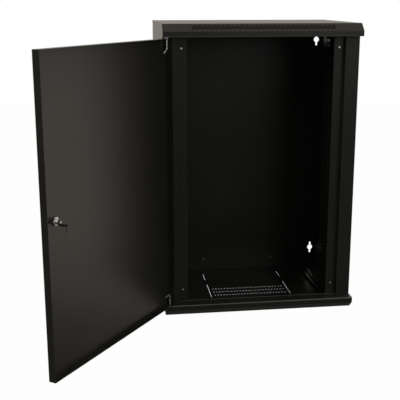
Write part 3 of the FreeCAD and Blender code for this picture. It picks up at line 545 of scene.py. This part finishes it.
# pan head screw with a cross recess and a rolled thread
screwShape = {"Head Radius": 0.0046, "Head Height": 0.0031, "Shank Radius": 0.0029,
              "Shank Length": 0.009, "Thread Pitch": 0.0009, "Thread Depth": 0.00035,
              "Recess Span": 0.0052, "Recess Width": 0.0011, "Recess Depth": 0.0016}
screwDetail = {"around": 40, "rings": 14, "domeRound": 0.55, "domeRise": 0.6,
               "shankAround": 18, "shankRings": 61, "rootTaper": 60, "pointTaper": 14,
               "tuck": 0.0002, "crease": 0.7}


def screwHead(tree, size):
    def quarter(wave, share):
        return calc(tree, wave, calc(tree, "MULTIPLY", share, math.pi / 2))

    def radius(share, turn):
        bend = calc(tree, "MAXIMUM", quarter("COSINE", share), 0)
        return calc(tree, "MULTIPLY", size["Head Radius"],
                    calc(tree, "POWER", bend, screwDetail["domeRound"]))

    def height(share):
        rise = calc(tree, "POWER", quarter("SINE", share), screwDetail["domeRise"])
        return calc(tree, "MULTIPLY", calc(tree, "MULTIPLY", size["Head Height"], rise), -1)

    dome = lathe(tree, radius, height, screwDetail["around"], screwDetail["rings"])
    under = tree.nodes.new("GeometryNodeMeshCircle")
    under.fill_type = "NGON"
    under.inputs["Vertices"].default_value = screwDetail["around"]
    tree.links.new(size["Head Radius"], under.inputs["Radius"])
    closed = merged(tree, join(tree, dome, under.outputs["Mesh"]), weld["head"])
    bars = []
    for across in (0, 1):
        bar = tree.nodes.new("GeometryNodeMeshCube")
        spread = tree.nodes.new("ShaderNodeCombineXYZ")
        tree.links.new(size["Recess Span"], spread.inputs[across])
        tree.links.new(size["Recess Width"], spread.inputs[1 - across])
        tree.links.new(calc(tree, "MULTIPLY", size["Recess Depth"], 2), spread.inputs[2])
        tree.links.new(spread.outputs[0], bar.inputs["Size"])
        level = calc(tree, "MULTIPLY", size["Head Height"], -1)
        bars.append(raised(tree, bar.outputs["Mesh"], level))
    return cut(tree, "DIFFERENCE", closed, *bars)


def screwShank(tree, size):
    def radius(share, turn):
        turns = calc(tree, "DIVIDE", size["Shank Length"], size["Thread Pitch"])
        lift = calc(tree, "MULTIPLY", share, turns)
        lead = calc(tree, "DIVIDE", turn, 2 * math.pi)
        phase = calc(tree, "FRACT", calc(tree, "ADD", lift, lead))
        ridge = calc(tree, "ABSOLUTE",
                     calc(tree, "SUBTRACT", calc(tree, "MULTIPLY", phase, 2), 1))
        groove = calc(tree, "MULTIPLY", ridge, size["Thread Depth"])
        left = calc(tree, "SUBTRACT", 1.0, share)
        ends = calc(tree, "MINIMUM",
                    calc(tree, "MULTIPLY", share, screwDetail["rootTaper"]),
                    calc(tree, "MULTIPLY", left, screwDetail["pointTaper"]))
        return calc(tree, "MULTIPLY", calc(tree, "MINIMUM", ends, 1),
                    calc(tree, "SUBTRACT", size["Shank Radius"], groove))

    def height(share):
        length = calc(tree, "ADD", size["Shank Length"], screwDetail["tuck"])
        return calc(tree, "SUBTRACT", calc(tree, "MULTIPLY", share, length),
                    screwDetail["tuck"])

    return lathe(tree, radius, height, screwDetail["shankAround"], screwDetail["shankRings"])


def screwTree():
    tree, enter, leave = newTree("panHeadScrew", screwShape)
    head, shank = screwHead(tree, enter.outputs), screwShank(tree, enter.outputs)
    placeOnSeats(tree, enter, leave, join(tree, head, shank), screwDetail["crease"])
    return tree


screws = screwTree()
steel = finishes["zinc_plate"]
lockJoint = [joint for joint in frame["joints"] if joint["name"] == "lock_turn"][0]
lockAxis = Vector(lockJoint["axis"]).normalized()


def screwSet(name, node, body, heading, seat=0.0032, **changes):
    seats = seatMesh(name, findSeats(node, heading, seat))
    grow(name, seats, screws, {**screwShape, **changes}, steel, body, node)


def upOrDown(middle):
    return (0, 0, 1 if middle[2] > 0 else -1)


def intoWall(middle):
    return (0, 1, 0)


def alongLock(middle):
    return lockAxis


screwSet("uprightScrewSet", "upright_screws", "cabinet", intoWall, **{"Head Radius": 0.0042})
screwSet("backScrewSet", "back_panel_screws", "cabinet", intoWall, seat=0.002,
         **{"Head Radius": 0.0048, "Head Height": 0.003, "Shank Radius": 0.0019,
            "Shank Length": 0.0026, "Thread Pitch": 0.0007, "Recess Span": 0.004,
            "Recess Depth": 0.0011, "Recess Width": 0.0009})
screwSet("footScrewSet", "bracket_foot_screws", "cabinet", upOrDown, seat=0.002,
         **{"Head Radius": 0.0036, "Head Height": 0.002, "Shank Radius": 0.0019,
            "Shank Length": 0.0034, "Thread Pitch": 0.0007, "Recess Span": 0.0038,
            "Recess Depth": 0.001, "Recess Width": 0.0009})
for side in ("right", "left"):
    screwSet("railBoltSet" + side.title(), "rail_bolts_" + side, "rail_" + side, upOrDown,
             **{"Head Radius": 0.0052, "Shank Length": 0.0075, "Recess Span": 0.0058})
screwSet("camScrew", "lock_cam_screw", "lock", alongLock,
         **{"Head Radius": 0.0052, "Recess Span": 0.0058, "Shank Length": 0.0085})
print("screws grown")

# chamfered hexagon nut of the lock
nutShape = {"Across Flats": 0.022, "Thickness": 0.0045, "Bore Radius": 0.0079, "Chamfer": 0.9}
nutDetail = {"around": 64, "coneSpread": 1.9, "crease": 0.35}


def nutTree():
    tree, enter, leave = newTree("hexagonNut", nutShape)
    size = enter.outputs
    prism = tree.nodes.new("GeometryNodeMeshCylinder")
    prism.inputs["Vertices"].default_value = 6
    corner = calc(tree, "DIVIDE", size["Across Flats"], 2 * math.cos(math.radians(30)))
    tree.links.new(corner, prism.inputs["Radius"])
    tree.links.new(size["Thickness"], prism.inputs["Depth"])
    cones = []
    for way in (1, -1):
        cone = tree.nodes.new("GeometryNodeMeshCone")
        cone.inputs["Vertices"].default_value = nutDetail["around"]
        small = calc(tree, "MULTIPLY", size["Across Flats"],
                     calc(tree, "DIVIDE", size["Chamfer"], 2))
        wide = calc(tree, "ADD", small,
                    calc(tree, "MULTIPLY", size["Thickness"], nutDetail["coneSpread"]))
        tree.links.new(small if way > 0 else wide, cone.inputs["Radius Top"])
        tree.links.new(wide if way > 0 else small, cone.inputs["Radius Bottom"])
        tree.links.new(size["Thickness"], cone.inputs["Depth"])
        drop = calc(tree, "MULTIPLY", size["Thickness"], -0.5)
        cones.append(raised(tree, cone.outputs["Mesh"], drop))
    hexagon = cut(tree, "INTERSECT", prism.outputs["Mesh"], *cones)
    bore = tree.nodes.new("GeometryNodeMeshCylinder")
    bore.inputs["Vertices"].default_value = nutDetail["around"]
    tree.links.new(size["Bore Radius"], bore.inputs["Radius"])
    tree.links.new(calc(tree, "MULTIPLY", size["Thickness"], 2), bore.inputs["Depth"])
    ring = cut(tree, "DIFFERENCE", hexagon, bore.outputs["Mesh"])
    placeOnSeats(tree, enter, leave, ring, nutDetail["crease"])
    return tree


nutLow, nutHigh = [Vector(corner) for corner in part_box("lock_nut")]
nutSeat = (nutLow + nutHigh) / 2
grow("lockNut", seatMesh("lockNut", [(nutSeat, lockAxis)]), nutTree(), nutShape, steel,
     "door", "lock_nut")

# hinge pins: a bright rod with one round bend, drawn along its own path
pinShape = {"Rod Radius": 0.0032, "Bend Radius": 0.008}
pinPath = {"legLength": 0.018, "bendStart": 0.3832, "tip": 0.0009,
           "leanTop": 32, "leanBottom": -6}
pinDetail = {"bendSteps": 14, "endTaper": 0.72, "around": 28, "crease": 0.6}


def pinTree():
    tree, enter, leave = newTree("bentRod", pinShape)
    size = enter.outputs
    line = tree.nodes.new("GeometryNodeMeshToCurve")
    tree.links.new(enter.outputs["Geometry"], line.inputs["Mesh"])
    bend = tree.nodes.new("GeometryNodeFilletCurve")
    bend.mode = "POLY"
    bend.inputs["Count"].default_value = pinDetail["bendSteps"]
    tree.links.new(line.outputs["Curve"], bend.inputs["Curve"])
    tree.links.new(size["Bend Radius"], bend.inputs["Radius"])
    ends = tree.nodes.new("GeometryNodeCurveEndpointSelection")
    taper = tree.nodes.new("GeometryNodeSetCurveRadius")
    taper.inputs["Radius"].default_value = pinDetail["endTaper"]
    tree.links.new(bend.outputs["Curve"], taper.inputs["Curve"])
    tree.links.new(ends.outputs[0], taper.inputs["Selection"])
    ring = tree.nodes.new("GeometryNodeCurvePrimitiveCircle")
    ring.inputs["Resolution"].default_value = pinDetail["around"]
    tree.links.new(size["Rod Radius"], ring.inputs["Radius"])
    sweep = tree.nodes.new("GeometryNodeCurveToMesh")
    sweep.inputs["Fill Caps"].default_value = True
    tree.links.new(taper.outputs["Curve"], sweep.inputs["Curve"])
    tree.links.new(ring.outputs["Curve"], sweep.inputs["Profile Curve"])
    finishPiece(tree, enter, leave, sweep.outputs["Mesh"], pinDetail["crease"])
    return tree


hinge = [joint for joint in frame["joints"] if joint["name"] == "door_hinge"][0]
hingeSpot = Vector(hinge["pos_m"])
doorWay = Vector((lockAxis.y, -lockAxis.x, 0)) * -1
rods = pinTree()
for level, up, body in (("top", 1, "hinge_pin_upper"), ("bottom", -1, "hinge_pin_lower")):
    node = "hinge_pin_" + level
    low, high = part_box(node)
    end = high[2] if up > 0 else low[2]
    turn = math.radians(90 - pinPath["lean" + level.title()])
    tangent = pinShape["Bend Radius"] * math.tan(turn / 2)
    corner = Vector((hingeSpot.x, hingeSpot.y, up * (pinPath["bendStart"] - tangent)))
    leg = doorWay * math.sin(turn) + Vector((0, 0, -up * math.cos(turn)))
    start = Vector((hingeSpot.x, hingeSpot.y, end))
    stop = corner + leg * (tangent + pinPath["legLength"])
    points = [start, start + Vector((0, 0, -up * pinPath["tip"])), corner,
              stop - leg * pinPath["tip"], stop]
    line = bpy.data.meshes.new(node)
    line.from_pydata([tuple(point) for point in points], [(0, 1), (1, 2), (2, 3), (3, 4)], [])
    grow("hingePin" + level.title(), line, rods, pinShape, steel, body, node)

# lock barrel turned from a closed outline: crowned bezel, threaded barrel, clear bore.
# Each step of the crown is (in from the rim, back from the front)
barrel = {"bore": 0.00508, "bezel": 0.011, "proud": 0.003, "thread": 0.008, "root": 0.0074,
          "length": 0.014, "pitch": 0.001, "seatGap": 0.00002, "steps": 64,
          "crown": ((0.0018, 0), (0.0007, 0.0004), (0.0001, 0.0011), (0, 0.0016)),
          "threadStart": 0.0025, "runOut": 0.0006, "chamfer": 0.0005, "ahead": 0.024,
          "crease": 0.6}


def barrelOutline():
    # (radius, depth behind the door's face)
    outline = [(barrel["bore"], -barrel["proud"])]
    outline += [(barrel["bezel"] - inset, -barrel["proud"] + back)
                for inset, back in barrel["crown"]]
    outline += [(barrel["bezel"], -barrel["seatGap"]), (barrel["thread"], -barrel["seatGap"])]
    depth = barrel["threadStart"]
    while depth + barrel["pitch"] < barrel["length"] - barrel["runOut"]:
        outline += [(barrel["thread"], depth), (barrel["root"], depth + barrel["pitch"] / 2)]
        depth += barrel["pitch"]
    return outline + [(barrel["thread"], depth),
                      (barrel["thread"], barrel["length"] - barrel["chamfer"]),
                      (barrel["root"], barrel["length"]), (barrel["bore"], barrel["length"])]


def turnedBarrel():
    centre = Vector(lockJoint["pos_m"]) + lockAxis * barrel["ahead"]
    across = lockAxis.orthogonal().normalized()
    shape = bmesh.new()
    ring = [shape.verts.new(centre + across * r - lockAxis * d) for r, d in barrelOutline()]
    edges = [shape.edges.new((ring[i], ring[(i + 1) % len(ring)])) for i in range(len(ring))]
    bmesh.ops.spin(shape, geom=ring + edges, cent=centre, axis=lockAxis, dvec=(0, 0, 0),
                   angle=2 * math.pi, steps=barrel["steps"], use_merge=True)
    bmesh.ops.remove_doubles(shape, verts=shape.verts, dist=weld["barrel"])
    bmesh.ops.recalc_face_normals(shape, faces=shape.faces)
    for face in shape.faces:
        face.smooth = True
    for edge in shape.edges:
        edge.smooth = edge.calc_face_angle(0) < barrel["crease"]
    mesh = bpy.data.meshes.new("lockBarrel")
    shape.to_mesh(mesh)
    shape.free()
    mesh.materials.append(finishes["lock_chrome"])
    piece = bpy.data.objects.new("lockBarrel", mesh)
    bpy.context.scene.collection.objects.link(piece)
    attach(piece, "door")
    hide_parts("lock_body")


turnedBarrel()
print("lock, nut and hinge pins made")

# studio: floor well below, shown white, and a world that is white to the camera; the room
# that lights the cabinet is bright behind and above and dim in front, with soft lamps
studio = {"floorDrop": 1.25, "floorSize": 30, "floorShown": 0.985,
          "floorTone": 0.12, "floorSpeck": 0.03, "floorCloud": 3, "floorRough": 0.9,
          "brightSide": (0, 0.6, 0.8), "frontEdge": 0.05, "backEdge": 0.6,
          "frontTone": (0.17, 0.175, 0.16), "backTone": (0.7, 0.65, 0.58)}
floorMesh = bpy.data.meshes.new("studioFloor")
half = studio["floorSize"] / 2
low = cadBox[0][2] - studio["floorDrop"]
floorMesh.from_pydata([(-half, -half, low), (half, -half, low), (half, half, low),
                       (-half, half, low)], [], [(0, 1, 2, 3)])
floorObject = bpy.data.objects.new("studioFloor", floorMesh)
bpy.context.scene.collection.objects.link(floorObject)


def floorMaterial():
    # matt grey to the light, nearly white to the camera
    material, tree, shader = newMaterial("paleFloor")
    pale = studio["floorTone"] + studio["floorSpeck"]
    tone = addRamp(tree, addNoise(tree, studio["floorCloud"], 2),
                   (0.3, (studio["floorTone"],) * 3), (0.7, (pale,) * 3))
    tree.links.new(tone, shader.inputs["Base Color"])
    shader.inputs["Roughness"].default_value = studio["floorRough"]
    glow = tree.nodes.new("ShaderNodeEmission")
    glow.inputs["Color"].default_value = (1, 1, 1, 1)
    glow.inputs["Strength"].default_value = 1
    rays = tree.nodes.new("ShaderNodeLightPath")
    mix = tree.nodes.new("ShaderNodeMixShader")
    amount = calc(tree, "MULTIPLY", rays.outputs["Is Camera Ray"], studio["floorShown"])
    tree.links.new(amount, mix.inputs["Fac"])
    tree.links.new(shader.outputs["BSDF"], mix.inputs[1])
    tree.links.new(glow.outputs["Emission"], mix.inputs[2])
    output = [node for node in tree.nodes if node.type == "OUTPUT_MATERIAL"][0]
    tree.links.new(mix.outputs["Shader"], output.inputs["Surface"])
    return material


floorObject.data.materials.append(floorMaterial())


def buildWorld():
    # white for camera and transmission rays; every other ray meets the room's own tones
    world = bpy.data.worlds.new("studio")
    world.use_nodes = True
    bpy.context.scene.world = world
    tree = world.node_tree
    tree.nodes.clear()
    output = tree.nodes.new("ShaderNodeOutputWorld")
    shown = tree.nodes.new("ShaderNodeBackground")
    shown.inputs["Color"].default_value = (1, 1, 1, 1)
    lit = tree.nodes.new("ShaderNodeBackground")
    place = tree.nodes.new("ShaderNodeTexCoord")
    lean = tree.nodes.new("ShaderNodeVectorMath")
    lean.operation = "DOT_PRODUCT"
    lean.inputs[1].default_value = studio["brightSide"]
    tree.links.new(place.outputs["Generated"], lean.inputs[0])
    tone = addRamp(tree, lean.outputs["Value"], (studio["frontEdge"], studio["frontTone"]),
                   (studio["backEdge"], studio["backTone"]))
    tree.links.new(tone, lit.inputs["Color"])
    rays = tree.nodes.new("ShaderNodeLightPath")
    mix = tree.nodes.new("ShaderNodeMixShader")
    plain = calc(tree, "MAXIMUM", rays.outputs["Is Camera Ray"],
                 rays.outputs["Is Transmission Ray"])
    tree.links.new(plain, mix.inputs["Fac"])
    tree.links.new(lit.outputs["Background"], mix.inputs[1])
    tree.links.new(shown.outputs["Background"], mix.inputs[2])
    tree.links.new(mix.outputs["Shader"], output.inputs["Surface"])


buildWorld()


def softBox(name, place, target, size, power, tone=(1, 1, 1)):
    lamp = bpy.data.lights.new(name, "AREA")
    lamp.shape = "RECTANGLE"
    lamp.size, lamp.size_y = size
    lamp.energy = power
    lamp.color = tone
    box = bpy.data.objects.new(name, lamp)
    aim = Vector(target) - Vector(place)
    box.rotation_euler = aim.to_track_quat("-Z", "Y").to_euler()
    box.location = place
    bpy.context.scene.collection.objects.link(box)


softBox("keySoftBox", (-3.2, -2.2, 2.6), (0, -0.2, 0), (2.2, 2.2), 27, (1, 0.97, 0.92))
softBox("frontSoftBox", (1.7, -4.4, 1.4), (0, -0.2, 0), (2.4, 1.6), 23)
softBox("doorSoftBox", (3.4, 0.7, -1.1), (-0.5, -0.8, -0.1), (2.0, 2.8), 27, (1, 0.9, 0.8))
print("studio lit")
